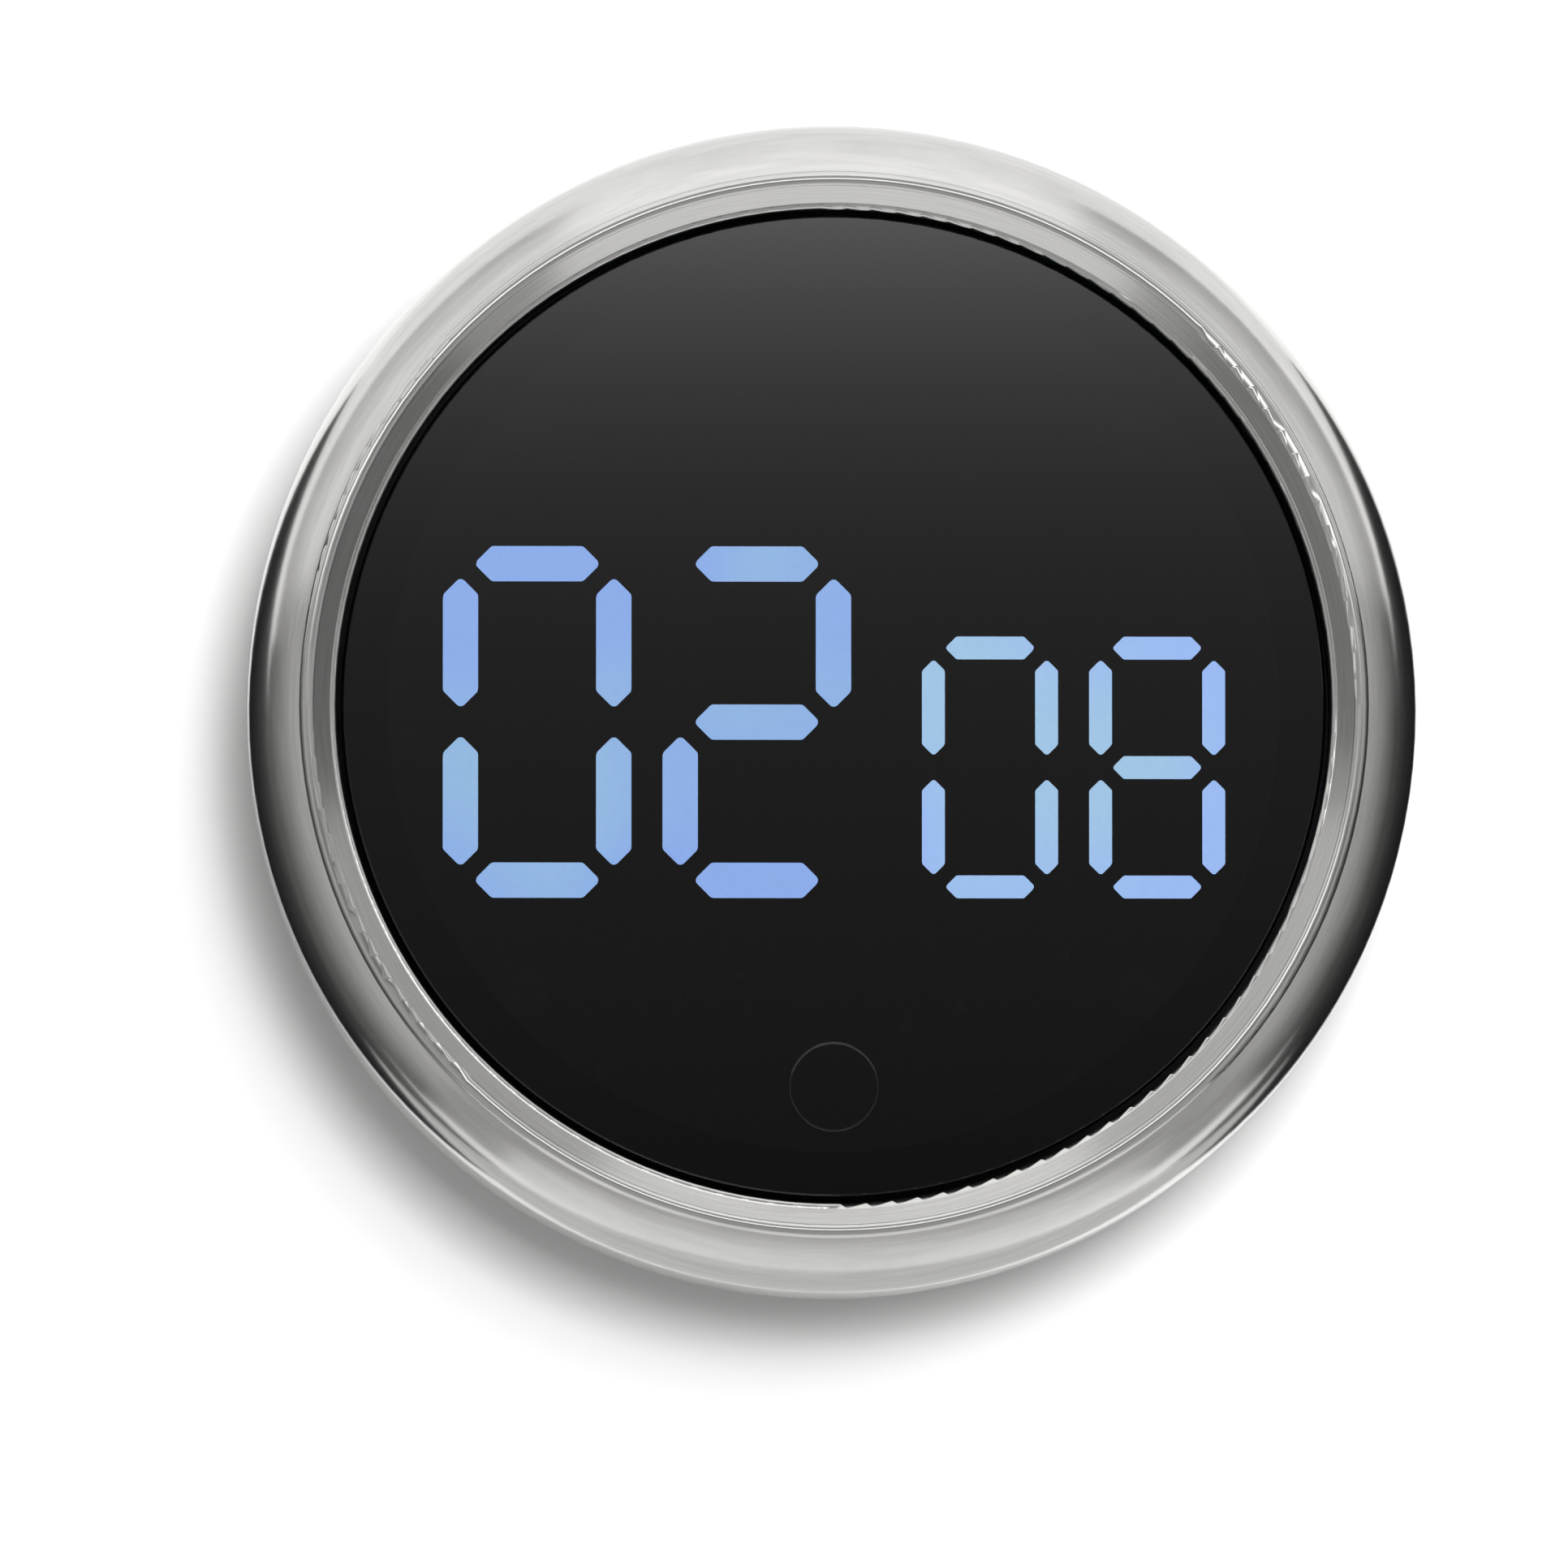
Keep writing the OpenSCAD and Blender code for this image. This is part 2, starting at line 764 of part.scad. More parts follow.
module face_frame() {
    color("#26272a") {
        ring_block(frame_in, frame_r, frame_z0, frame_z1);
        translate([-tongue_w / 2, -frame_in - over, frame_z0])
            cube([tongue_w, frame_in + over - mark_y + tongue_w / 2, frame_t]);
        for (side = [-1, 1]) {
            block([lug_w, 2 * (ear_half - lug_gap), frame_z1 - hinge_z + lug_drop],
                [side * (ear_x0 - lug_gap - lug_w / 2), hinge_y], hinge_z - lug_drop);
            translate([side * (ear_x0 + (ear_w - lug_gap) / 2 - bite / 2), hinge_y, hinge_z])
                rotate([0, 90, 0])
                    cylinder(r = hinge_pin_r, h = ear_w + bite, center = true, $fn = 40);
        }
    }
}

module lens_adhesive() {
    color("#6f7174")
        ring_block(frame_in, frame_r, frame_z1, lens_z0);
}

module lens() {
    bevel = 0.25;
    mark_round = mark_h + 0.05;
    color("#0b0c0e") {
        rotate_extrude($fn = 240)
            polygon([
                [0, lens_z0], [lens_r, lens_z0], [lens_r, lens_z1 - bevel],
                [lens_r - bevel, lens_z1], [0, lens_z1]
            ]);
        translate([0, -mark_y, lens_z1 + mark_h - mark_round])
            rotate_extrude($fn = 120) {
                translate([mark_d / 2 - mark_round, 0])
                    circle(mark_round, $fn = 48);
                translate([0, -mark_round])
                    square([mark_d / 2 - mark_round, 2 * mark_round]);
            }
    }
}

// ---- rear case and what is in it ----

module rear_case() {
    color("#2b2c2f")
        difference() {
            union() {
                // cup: rear wall, side wall, shelf under the ring and spigot into the drum
                rotate_extrude($fn = 180)
                    polygon([
                        [0, rear_z], [case_r - case_bevel, rear_z], [case_r, rear_z + case_bevel],
                        [case_r, shelf_z],
                        [spigot_r, shelf_z], [spigot_r, web_z], [spigot_in, web_z],
                        [spigot_in, shelf_z - shelf_t], [case_r - rear_wall, shelf_z - shelf_t],
                        [case_r - rear_wall, rear_in], [0, rear_in]
                    ]);
                translate([-bay_out, -bay_y - bay_wall, rear_in - bite])
                    cube([2 * bay_out, 2 * (bay_y + bay_wall), bay_top - rear_in + bite]);
                at_screws()
                    translate([0, 0, rear_in - bite])
                        cylinder(r = post_r, h = post_z - rear_in + bite, $fn = 48);
                for (side = [-1, 1])
                    translate([side * magnet_x, magnet_y, rear_in - bite])
                        cylinder(r = magnet_r + boss_wall, h = magnet_floor - rear_in + boss_wall + bite,
                            $fn = 64);
                translate([buzzer_x, buzzer_y, rear_in - bite])
                    cylinder(r = buzzer_r + boss_wall + near, h = buzzer_seat + bite, $fn = 64);
            }
            // battery bay and the seat of its door
            translate([-bay_x, -bay_y, rear_z - over])
                cube([2 * bay_x, 2 * bay_y, bay_z1 - rear_z + over]);
            translate([0, 0, rear_z - over])
                linear_extrude(door_t + pin_gap + over)
                    door_outline(door_x + door_gap, door_y0 - door_gap,
                        door_hinge_y + door_t / 2 + door_gap, door_corner + door_gap);
            translate([0, door_hinge_y, door_hinge_z])
                rotate([0, 90, 0])
                    cylinder(r = door_pin_r + pin_gap, h = 2 * (door_x + door_gap + door_pin_l + 2 * near),
                        center = true, $fn = 40);
            // slots in the ceiling for the solder tabs of the two end contacts
            for (side = [-1, 1])
                block([tab_w + 4 * near, contact_t + 2 * near, bay_roof + 2 * over],
                    [-side * cell_pitch, side * (bay_y - contact_t / 2)], bay_z1 - over);
            // finger scoop at the free end of the door
            translate([0, door_y0 - door_gap - 2 * near, rear_z + scoop_depth - scoop_r])
                sphere(r = scoop_r, $fn = 64);
            // groove of the foot ring
            rotate_extrude($fn = 180)
                translate([foot_r0, rear_z - over])
                    square([foot_w, foot_t - foot_proud + over]);
            // screw seats
            at_screws() {
                translate([0, 0, rear_z - over])
                    cylinder(r = case_head_r + 2 * near, h = case_seat + over, $fn = 48);
                translate([0, 0, rear_z])
                    cylinder(r = case_screw_r + 2 * near, h = post_z, $fn = 40);
            }
            // magnet pockets
            for (side = [-1, 1])
                translate([side * magnet_x, magnet_y, rear_z - over])
                    cylinder(r = magnet_r + pin_gap, h = magnet_floor - rear_z + over, $fn = 64);
            // sounder seat and its sound holes
            translate([buzzer_x, buzzer_y, rear_in])
                cylinder(r = buzzer_r + pin_gap, h = buzzer_seat + over, $fn = 64);
            for (i = [0 : 6])
                rotate_about(buzzer_x, buzzer_y, i * 60)
                    translate([i == 6 ? 0 : sound_ring_r, 0, rear_z - over])
                        cylinder(r = sound_hole_r, h = rear_wall + 2 * over, $fn = 24);
            // slot of the volume slider
            block([knob_w + 2 * door_gap, knob_l + 2 * slider_travel + 2 * door_gap,
                rear_wall + 2 * over], [switch_x, switch_y], rear_z - over);
            // room for the pinion
            translate([pinion_x, 0, shelf_z])
                cylinder(r = pinion_tip_r + pinion_room, h = web_z, $fn = 96);
        }
}

// Turns its children about an upright axis through a point
module rotate_about(x, y, turn) {
    translate([x, y, 0])
        rotate([0, 0, turn])
            children();
}

module foot_ring() {
    color("#3c3d40")
        ring_block(foot_r0 + pin_gap, foot_r1 - pin_gap, 0, foot_t);
}

module magnets() {
    color("#c3c6c9")
        for (side = [-1, 1])
            translate([side * magnet_x, magnet_y, magnet_z])
                cylinder(r = magnet_r, h = magnet_t, $fn = 64);
}

module case_screws() {
    color("#8d8f92")
        at_screws()
            translate([0, 0, case_seat_z])
                screw(case_head_r, case_head_h, case_screw_r, case_screw_z1 - case_seat_z);
}

module glide_washer() {
    color("#f1f1ec")
        ring_block(spigot_r + washer_gap, case_r - washer_in, shelf_z, shelf_z + washer_t);
}

// Which way the button of cell i points: the outer cells to +Y and the middle one to -Y
function cell_way(i) = i % 2 == 0 ? 1 : -1;
function cell_x(i) = (i - (cell_count - 1) / 2) * cell_pitch;

module cells() {
    for (i = [0 : cell_count - 1])
        translate([cell_x(i), 0, cell_z])
            rotate([-90 * cell_way(i), 0, 0])
                translate([0, 0, cell_y1 - cell_l]) {
                    color("#3f6f4e")
                        cylinder(r = cell_r, h = cell_l - button_l, $fn = 64);
                    color("#c9cbcd")
                        cylinder(r = button_r, h = cell_l, $fn = 40);
                }
}

// Contact plate over one or two cells at one end of the bay
module contact_plate(x0, x1, end, tab) {
    half = cell_r - contact_in;
    translate([x0 - half, end > 0 ? bay_y - contact_t : -bay_y, cell_z - half])
        cube([x1 - x0 + 2 * half, contact_t, 2 * half]);
    if (tab)
        translate([x0 - tab_w / 2, end > 0 ? bay_y - contact_t : -bay_y, cell_z])
            cube([tab_w, contact_t, bay_top - cell_z + 2 * near]);
}

module positive_contact() {
    color("#cfd1d2")
        contact_plate(cell_x(0), cell_x(0), 1, true);
}

module negative_contact() {
    color("#cfd1d2")
        contact_plate(cell_x(2), cell_x(2), -1, true);
}

module bridge_contacts() {
    color("#cfd1d2") {
        contact_plate(cell_x(0), cell_x(1), -1, false);
        contact_plate(cell_x(1), cell_x(2), 1, false);
    }
}

// Tapering coil along +Z as a tube around a helix
module coil_spring(r0, r1, l, turns, wire_r) {
    sides = 6;
    steps = 12 * turns;
    rings = [
        for (k = [0 : steps])
            let (t = k / steps, a = 360 * turns * t, r = r0 + (r1 - r0) * t)
            let (z = wire_r + (l - 2 * wire_r) * t)
            [for (s = [0 : sides - 1])
                let (q = r + wire_r * cos(360 * s / sides))
                [q * cos(a), q * sin(a), z + wire_r * sin(360 * s / sides)]]
    ];
    points = [for (ring = rings) for (p = ring) p];
    walls = [
        for (k = [0 : steps - 1])
            for (s = [0 : sides - 1])
                let (n = (s + 1) % sides)
                [k * sides + s, (k + 1) * sides + s, (k + 1) * sides + n, k * sides + n]
    ];
    first = [for (s = [0 : sides - 1]) s];
    last = [for (s = [sides - 1 : -1 : 0]) steps * sides + s];
    polyhedron(points = points, faces = concat(walls, [first, last]), convexity = 6);
}

module contact_springs() {
    color("#cfd1d2")
        for (i = [0 : cell_count - 1])
            translate([cell_x(i), 0, cell_z])
                rotate([-90 * cell_way(i), 0, 0])
                    translate([0, 0, -bay_y + contact_t])
                        coil_spring(spring_r0, spring_r1, spring_l, spring_turns, spring_wire_r);
}

module buzzer() {
    color("#1b1c1e")
        difference() {
            translate([buzzer_x, buzzer_y, buzzer_z])
                cylinder(r = buzzer_r, h = buzzer_h, $fn = 64);
            translate([buzzer_x, buzzer_y, buzzer_z - over])
                cylinder(r = 2 * sound_hole_r, h = buzzer_seat + over, $fn = 32);
        }
}

module volume_switch() {
    color("#b9bbbd")
        difference() {
            block([switch_w, switch_l, switch_h], [switch_x, switch_y], switch_z);
            block([stem_w + 3 * near, stem_l + 2 * slider_travel + 6 * near, stem_h + 2 * near + over],
                [switch_x, switch_y], switch_z - over);
        }
}

module volume_board() {
    color("#1f5b3a")
        block([switch_w + 2 * board_rim, switch_l + 3 * board_rim, board_t], [switch_x, switch_y],
            switch_z + switch_h);
}

module volume_slider() {
    color("#e9e9e6") {
        difference() {
            block([knob_w, knob_l, rear_in - near - knob_z0], [switch_x, switch_y], knob_z0);
            for (i = [-1 : 1])
                block([knob_w + over, knob_groove, knob_proud + over],
                    [switch_x, switch_y + i * knob_l * 0.275], knob_z0 - over);
        }
        block([stem_w, stem_l, stem_h], [switch_x, switch_y], rear_in - 2 * near);
    }
}

module battery_door() {
    color("#2b2c2f") {
        difference() {
            union() {
                translate([0, 0, rear_z])
                    linear_extrude(door_t)
                        door_outline(door_x, door_y0, door_hinge_y, door_corner);
                translate([0, door_hinge_y, door_hinge_z])
                    rotate([0, 90, 0])
                        cylinder(r = door_t / 2, h = 2 * door_x, center = true, $fn = 48);
            }
            for (i = [0 : 4])
                block([rib_l - 2 * i, rib_w, rib_depth + over],
                    [0, door_y0 + 2 * door_corner + i * rib_pitch], rear_z - over);
        }
        translate([0, door_hinge_y, door_hinge_z])
            rotate([0, 90, 0])
                cylinder(r = door_pin_r, h = 2 * (door_x + door_gap + door_pin_l), center = true,
                    $fn = 40);
    }
}

// ---- wires, each straight up from its part to the underside of the circuit board ----

function battery_lead_places() = [[cell_x(0), bay_y - 0.9], [cell_x(2), 0.9 - bay_y]];
function buzzer_lead_places() = [for (side = [-1, 1]) [buzzer_x + side * 1.6, buzzer_y]];
function volume_lead_places() = [for (i = [0 : 2]) [switch_x - 1.4, switch_y - 1.5 + i * 2.6]];

module leads(places, z0) {
    for (at = places)
        translate([at[0], at[1], z0])
            cylinder(r = lead_r, h = pcb_z - z0, $fn = 24);
}

module battery_leads() {
    color("#b3372c")
        leads(battery_lead_places(), bay_top);
}

module buzzer_leads() {
    color("#d8b23c")
        leads(buzzer_lead_places(), buzzer_z + buzzer_h);
}

module volume_leads() {
    color("#3b62b0")
        leads(volume_lead_places(), switch_z + switch_h + board_t);
}

rear_case();
foot_ring();
magnets();
cells();
positive_contact();
negative_contact();
bridge_contacts();
contact_springs();
buzzer();
volume_switch();
volume_board();
case_screws();
glide_washer();
chassis();
circuit_board();
board_screws();
encoder();
display_housing();
led_chips();
controller_chip();
passives();
minutes_tens_light();
minutes_units_light();
seconds_tens_light();
seconds_units_light();
unlit_segments();
tact_switch();
battery_leads();
buzzer_leads();
volume_leads();
bezel_trim();
ring_carrier();
ring_gear();
ring_gear_screws();
pinion();
encoder_shaft();
face_frame();
lens_adhesive();
lens();
plunger();
battery_door();
volume_slider();
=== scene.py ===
"""A magnetic kitchen timer with a turning steel ring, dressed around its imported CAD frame.

Every piece of the timer is a node of the frame. The classes below give each sub-assembly its finishes,
and the studio lights it from above.
"""

import logging
import math
from dataclasses import dataclass
from enum import Enum
from typing import Protocol, Union

import bpy
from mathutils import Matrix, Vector


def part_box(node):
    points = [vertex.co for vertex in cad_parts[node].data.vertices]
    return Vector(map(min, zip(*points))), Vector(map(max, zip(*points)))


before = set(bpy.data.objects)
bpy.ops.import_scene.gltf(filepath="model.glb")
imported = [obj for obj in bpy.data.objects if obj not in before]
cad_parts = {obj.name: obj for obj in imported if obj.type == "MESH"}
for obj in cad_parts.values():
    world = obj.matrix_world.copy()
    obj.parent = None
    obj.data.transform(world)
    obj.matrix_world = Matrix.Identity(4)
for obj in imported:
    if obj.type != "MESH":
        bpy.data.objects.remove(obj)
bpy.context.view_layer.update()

log = logging.getLogger("timer")

MM = 0.001
TINNED = (0.72, 0.72, 0.7)
EVEN_RISE = 0.15
FILM_WIDTH = 36.0
FLOOR_REACH = 3.0
Colour = tuple[float, float, float]
Number = Union[float, "Value"]


# ---------------------------------------------------------------- shader tools


class Value:
    """A number in a shader, with arithmetic written as plain operators."""

    def __init__(self, shader: "Shader", socket: bpy.types.NodeSocket) -> None:
        """Wraps a socket.

        Args:
            shader: The shader that owns the socket.
            socket: A number socket that other nodes read.
        """
        self.shader = shader
        self.socket = socket

    def _do(self, operation: str, *values: Number) -> "Value":
        """Adds one Math node.

        Args:
            operation: The Math node's operation.
            *values: Its inputs, in order.

        Returns:
            The node's result.
        """
        node = self.shader.node("ShaderNodeMath", {"operation": operation}, dict(enumerate(values)))
        return Value(self.shader, node.outputs[0])

    def __add__(self, other: Number) -> "Value":
        """Sum."""
        return self._do("ADD", self, other)

    def __radd__(self, other: Number) -> "Value":
        """Sum, from the right."""
        return self._do("ADD", other, self)

    def __sub__(self, other: Number) -> "Value":
        """Difference."""
        return self._do("SUBTRACT", self, other)

    def __rsub__(self, other: Number) -> "Value":
        """Difference, from the right."""
        return self._do("SUBTRACT", other, self)

    def __mul__(self, other: Number) -> "Value":
        """Product."""
        return self._do("MULTIPLY", self, other)

    def __rmul__(self, other: Number) -> "Value":
        """Product, from the right."""
        return self._do("MULTIPLY", other, self)

    def __truediv__(self, other: Number) -> "Value":
        """Quotient."""
        return self._do("DIVIDE", self, other)

    def __rtruediv__(self, other: Number) -> "Value":
        """Quotient, from the right."""
        return self._do("DIVIDE", other, self)

    def __pow__(self, other: Number) -> "Value":
        """Power."""
        return self._do("POWER", self, other)

    def __abs__(self) -> "Value":
        """The value without its sign."""
        return self._do("ABSOLUTE", self)

    def above(self, limit: Number) -> "Value":
        """1 where the value is over the limit, else 0."""
        return self._do("GREATER_THAN", self, limit)

    def fraction(self) -> "Value":
        """What is left over the next lower whole number."""
        return self._do("FRACT", self)

    def most(self, other: Number) -> "Value":
        """The larger of two values."""
        return self._do("MAXIMUM", self, other)

    def least(self, other: Number) -> "Value":
        """The smaller of two values."""
        return self._do("MINIMUM", self, other)

    def ramp(self, low: float, high: float) -> "Value":
        """Rises smoothly from 0 to 1 and holds at both ends.

        Args:
            low: The value up to which the result is 0.
            high: The value from which the result is 1.

        Returns:
            The rise.
        """
        node = self.shader.node(
            "ShaderNodeMapRange",
            {"interpolation_type": "SMOOTHSTEP"},
            {0: self, 1: low, 2: high, 3: 0.0, 4: 1.0},
        )
        return Value(self.shader, node.outputs[0])


class Shader:
    """One node material in the making."""

    def __init__(self, name: str) -> None:
        """Starts an empty node material.

        Args:
            name: The material's name.
        """
        self.material = bpy.data.materials.new(name)
        self.material.use_nodes = True
        self.tree = self.material.node_tree
        self.tree.nodes.clear()
        self._place: bpy.types.NodeSocket | None = None

    def node(self, kind: str, settings: dict | None = None, inputs: dict | None = None) -> bpy.types.Node:
        """Adds a node.

        Args:
            kind: The node's type.
            settings: Properties to set on it.
            inputs: Values, sockets or Values for its inputs, by name or number.

        Returns:
            The new node.
        """
        made = self.tree.nodes.new(kind)
        for key, setting in (settings or {}).items():
            setattr(made, key, setting)
        for key, given in (inputs or {}).items():
            if isinstance(given, Value):
                given = given.socket
            if isinstance(given, bpy.types.NodeSocket):
                self.tree.links.new(given, made.inputs[key])
            else:
                made.inputs[key].default_value = given
        return made

    def place(self) -> bpy.types.NodeSocket:
        """The point on the object, in metres in the object's own frame."""
        if self._place is None:
            self._place = self.node("ShaderNodeTexCoord").outputs["Object"]
        return self._place

    def axes(self) -> tuple[Value, Value, Value]:
        """The x, y and z of the point on the object."""
        node = self.node("ShaderNodeSeparateXYZ", None, {0: self.place()})
        return tuple(Value(self, out) for out in node.outputs)

    def point(self, x: Number, y: Number, z: Number) -> bpy.types.NodeSocket:
        """Joins three numbers into a point."""
        return self.node("ShaderNodeCombineXYZ", None, {0: x, 1: y, 2: z}).outputs[0]

    def stretched(self, scales: Colour) -> bpy.types.NodeSocket:
        """The point on the object with each axis scaled."""
        settings = {"operation": "MULTIPLY"}
        return self.node("ShaderNodeVectorMath", settings, {0: self.place(), 1: scales}).outputs[0]

    def noise(
        self, scale: float, detail: float = 2.0, where: bpy.types.NodeSocket | None = None, rough: float = 0.5
    ) -> Value:
        """Smooth noise between about 0.2 and 0.8.

        Args:
            scale: Lumps per metre of the point's length.
            detail: Octaves of finer noise on top.
            where: The point it is read at, or None for the point on the object.
            rough: Strength of each finer octave.

        Returns:
            The noise.
        """
        inputs = {"Vector": where or self.place(), "Scale": scale, "Detail": detail, "Roughness": rough}
        return Value(self, self.node("ShaderNodeTexNoise", None, inputs).outputs[0])

    def cells(self, scale: float) -> Value:
        """Distance to the nearest of scattered points, for pores and grains."""
        inputs = {"Vector": self.place(), "Scale": scale}
        return Value(self, self.node("ShaderNodeTexVoronoi", None, inputs).outputs["Distance"])

    def blend(self, factor: Number, a: object, b: object) -> bpy.types.NodeSocket:
        """Mixes two colours.

        Args:
            factor: 0 gives the first colour and 1 the second.
            a: First colour, as three numbers or a socket.
            b: Second colour, as three numbers or a socket.

        Returns:
            The mixed colour.
        """
        full = [(*c, 1.0) if isinstance(c, tuple) else c for c in (a, b)]
        node = self.node("ShaderNodeMix", {"data_type": "RGBA"}, {0: factor, 6: full[0], 7: full[1]})
        return node.outputs[2]

    def bump(self, height: Value, depth: float) -> bpy.types.NodeSocket:
        """Turns a height between 0 and 1 into a surface normal.

        Args:
            height: The height pattern.
            depth: Height of a full step in metres.

        Returns:
            The normal.
        """
        inputs = {"Height": height, "Distance": depth, "Strength": 1.0}
        return self.node("ShaderNodeBump", None, inputs).outputs[0]

    def surface(self, **inputs: object) -> bpy.types.Material:
        """Closes the material with one Principled surface.

        Args:
            **inputs: The surface's inputs, with underscores for the spaces in their names.

        Returns:
            The finished material.
        """
        named = {key.replace("_", " "): value for key, value in inputs.items()}
        for key, value in named.items():
            if isinstance(value, tuple) and len(value) == 3:
                named[key] = (*value, 1.0)
        body = self.node("ShaderNodeBsdfPrincipled", None, named)
        self.node("ShaderNodeOutputMaterial", None, {0: body.outputs[0]})
        return self.material


# ---------------------------------------------------------------- finishes


class Finish(Protocol):
    """Anything that can make a material."""

    def make(self, name: str) -> bpy.types.Material:
        """Makes the material under a name."""


class Lay(Enum):
    """Which way the brushing on a metal runs."""

    ROUND = "round the upright axis"
    ALONG_X = "along x"


@dataclass(frozen=True)
class BrushedMetal:
    """Metal with fine brushing, faint longer scratches and handling marks.

    Args:
        colour: Colour of the bare metal.
        rough: Middle roughness.
        spread: How far the roughness wanders.
        lay: Which way the brushing runs.
        lines: Brush lines per metre across the brushing.
        depth: Depth of the brushing in metres.
    """

    colour: Colour = (0.62, 0.615, 0.6)
    rough: float = 0.19
    spread: float = 0.08
    lay: Lay = Lay.ROUND
    lines: float = 9000.0
    depth: float = 0.0000012

    def _lines(self, shader: Shader, density: float, along: float) -> Value:
        """Noise drawn out along the brushing.

        Args:
            shader: The shader that it goes in.
            density: Lines per metre.
            along: How fast a line changes along its length.

        Returns:
            The noise.
        """
        x, y, z = shader.axes()
        if self.lay is Lay.ROUND:
            radius = (x * x + y * y) ** 0.5
            where = shader.point(
                x / radius * along, y / radius * along, radius * density * 0.7 + z * density * 0.71
            )
        else:
            where = shader.point(x * along * 30.0, y * density, z * density)
        return shader.noise(1.0, 3.0, where, 0.6)

    def make(self, name: str) -> bpy.types.Material:
        """Makes the brushed metal.

        Args:
            name: The material's name.

        Returns:
            The material.
        """
        shader = Shader(name)
        fine = self._lines(shader, self.lines, 6.0)
        scratches = self._lines(shader, self.lines * 0.35, 2.5).ramp(0.6, 0.78)
        smudge = shader.noise(90.0, 3.0)
        low = tuple(c * 0.9 for c in self.colour)
        tint = shader.blend(fine.ramp(0.3, 0.7), low, self.colour)
        tint = shader.blend(scratches * 0.35, tint, tuple(min(1.0, c * 1.22) for c in self.colour))
        rough = self.rough + (fine - 0.5) * self.spread + (smudge - 0.5) * 0.06 + scratches * 0.04
        height = fine * 0.75 + scratches * 0.25
        return shader.surface(
            Base_Color=tint, Metallic=1.0, Roughness=rough, Normal=shader.bump(height, self.depth)
        )


@dataclass(frozen=True)
class PlatedMetal:
    """Plated or pressed metal with cloudy plating and pits.

    Args:
        colour: Colour of the plating.
        rough: Middle roughness.
        cloud: Clouds per metre.
        pits: Pits per metre.
        depth: Depth of the pits in metres.
    """

    colour: Colour = (0.72, 0.72, 0.71)
    rough: float = 0.24
    cloud: float = 420.0
    pits: float = 2600.0
    depth: float = 0.000004

    def make(self, name: str) -> bpy.types.Material:
        """Makes the plated metal.

        Args:
            name: The material's name.

        Returns:
            The material.
        """
        shader = Shader(name)
        cloud = shader.noise(self.cloud, 4.0)
        pits = shader.cells(self.pits).ramp(0.05, 0.3)
        tint = shader.blend(cloud.ramp(0.35, 0.7), tuple(c * 0.8 for c in self.colour), self.colour)
        return shader.surface(
            Base_Color=tint,
            Metallic=1.0,
            Roughness=self.rough + (cloud - 0.5) * 0.22 + (1.0 - pits) * 0.1,
            Normal=shader.bump(pits * 0.6 + cloud * 0.4, self.depth),
        )


@dataclass(frozen=True)
class MouldedPlastic:
    """Moulded plastic with a spark-eroded grain, faint flow marks and rubbed spots.

    Args:
        colour: Colour of the plastic.
        rough: Middle roughness.
        grain: Grains per metre.
        depth: Depth of the grain in metres.
        sheen: Specular level.
        see_into: How much light scatters under the surface.
    """

    colour: Colour
    rough: float = 0.5
    grain: float = 3200.0
    depth: float = 0.00001
    sheen: float = 0.5
    see_into: float = 0.0

    def make(self, name: str) -> bpy.types.Material:
        """Makes the plastic.

        Args:
            name: The material's name.

        Returns:
            The material.
        """
        shader = Shader(name)
        grain = shader.cells(self.grain)
        fine = shader.noise(self.grain * 1.9, 2.0)
        flow = shader.noise(55.0, 4.0, shader.stretched((1.0, 0.45, 1.0)))
        rubbed = shader.noise(160.0, 5.0, None, 0.65).ramp(0.56, 0.74)
        light = tuple(min(1.0, c * 1.18 + 0.004) for c in self.colour)
        dark = tuple(c * 0.84 for c in self.colour)
        tint = shader.blend(flow.ramp(0.35, 0.65), dark, light)
        tint = shader.blend(grain.ramp(0.1, 0.6) * 0.35, tint, self.colour)
        return shader.surface(
            Base_Color=tint,
            Roughness=self.rough + (fine - 0.5) * 0.12 + (flow - 0.5) * 0.06 - rubbed * 0.08,
            Specular_IOR_Level=self.sheen,
            Subsurface_Weight=self.see_into,
            Subsurface_Scale=0.001,
            Normal=shader.bump(grain * 0.7 + fine * 0.3, self.depth),
        )


@dataclass(frozen=True)
class Silicone:
    """Soft rubber with a dusty bloom and small moulding pores.

    Args:
        colour: Colour of the rubber.
        bloom: Colour of the dust that clings to it.
    """

    colour: Colour = (0.045, 0.046, 0.05)
    bloom: Colour = (0.16, 0.155, 0.15)

    def make(self, name: str) -> bpy.types.Material:
        """Makes the rubber.

        Args:
            name: The material's name.

        Returns:
            The material.
        """
        shader = Shader(name)
        dust = shader.noise(700.0, 6.0, None, 0.7).ramp(0.5, 0.8)
        pores = shader.cells(4200.0)
        return shader.surface(
            Base_Color=shader.blend(dust * 0.45, self.colour, self.bloom),
            Roughness=0.72 + dust * 0.18,
            Specular_IOR_Level=0.4,
            Sheen_Weight=0.15,
            Normal=shader.bump(pores * 0.5 + dust * 0.5, 0.000012),
        )


